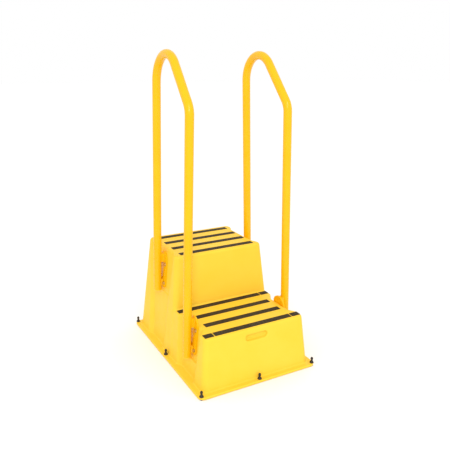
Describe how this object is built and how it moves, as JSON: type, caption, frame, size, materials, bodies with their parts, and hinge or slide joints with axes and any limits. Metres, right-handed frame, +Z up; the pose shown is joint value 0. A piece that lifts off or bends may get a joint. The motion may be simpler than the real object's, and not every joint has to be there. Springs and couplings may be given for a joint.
{
  "type": "mounting block with handrails",
  "caption": "Stepped hollow moulded mounting block with anti-slip strips on its treads, a bent tube handrail bolted to each side, and rubber feet around its base flange.",
  "frame": {"origin": "on the floor, under the middle of the base flange", "axes": "+X to the right of a person walking up the steps, +Y the way they walk, towards the tall step, +Z up"},
  "size_m": [0.596, 0.798, 1.4023],
  "materials": {
    "yellow_moulding": "satin moulded polyethylene, coloured through",
    "yellow_coat": "semi-gloss powder coat on steel",
    "grit": "coarse mineral grit on self-adhesive tape",
    "foot_rubber": "matt moulded rubber",
    "zinc_steel": "yellow-passivated zinc plate"
  },
  "bodies": {
    "root": {"step_body": "yellow_moulding", "lower_strip_1": "grit", "lower_strip_2": "grit", "lower_strip_3": "grit", "lower_strip_4": "grit", "upper_strip_1": "grit", "upper_strip_2": "grit", "upper_strip_3": "grit", "upper_strip_4": "grit", "end_strip_front_left": "grit", "end_strip_front_right": "grit", "end_strip_rear_left": "grit", "end_strip_rear_right": "grit", "handrail_tube_left": "yellow_coat", "handrail_tube_right": "yellow_coat", "fixing_plate_front_left": "yellow_coat", "fixing_plate_front_right": "yellow_coat", "fixing_plate_rear_left": "yellow_coat", "fixing_plate_rear_right": "yellow_coat", "tube_plug_front_left": "yellow_moulding", "tube_plug_front_right": "yellow_moulding", "tube_plug_rear_left": "yellow_moulding", "tube_plug_rear_right": "yellow_moulding", "bolts_front_left": "zinc_steel", "bolts_front_right": "zinc_steel", "bolts_rear_left": "zinc_steel", "bolts_rear_right": "zinc_steel", "washers_front_left": "zinc_steel", "washers_front_right": "zinc_steel", "washers_rear_left": "zinc_steel", "washers_rear_right": "zinc_steel", "backing_plate_front_left": "zinc_steel", "backing_plate_front_right": "zinc_steel", "backing_plate_rear_left": "zinc_steel", "backing_plate_rear_right": "zinc_steel", "nuts_front_left": "zinc_steel", "nuts_front_right": "zinc_steel", "nuts_rear_left": "zinc_steel", "nuts_rear_right": "zinc_steel", "foot_front_left": "foot_rubber", "foot_front_middle": "foot_rubber", "foot_front_right": "foot_rubber", "foot_left_middle": "foot_rubber", "foot_right_middle": "foot_rubber", "foot_rear_left": "foot_rubber", "foot_rear_middle": "foot_rubber", "foot_rear_right": "foot_rubber"}
  },
  "joints": []
}
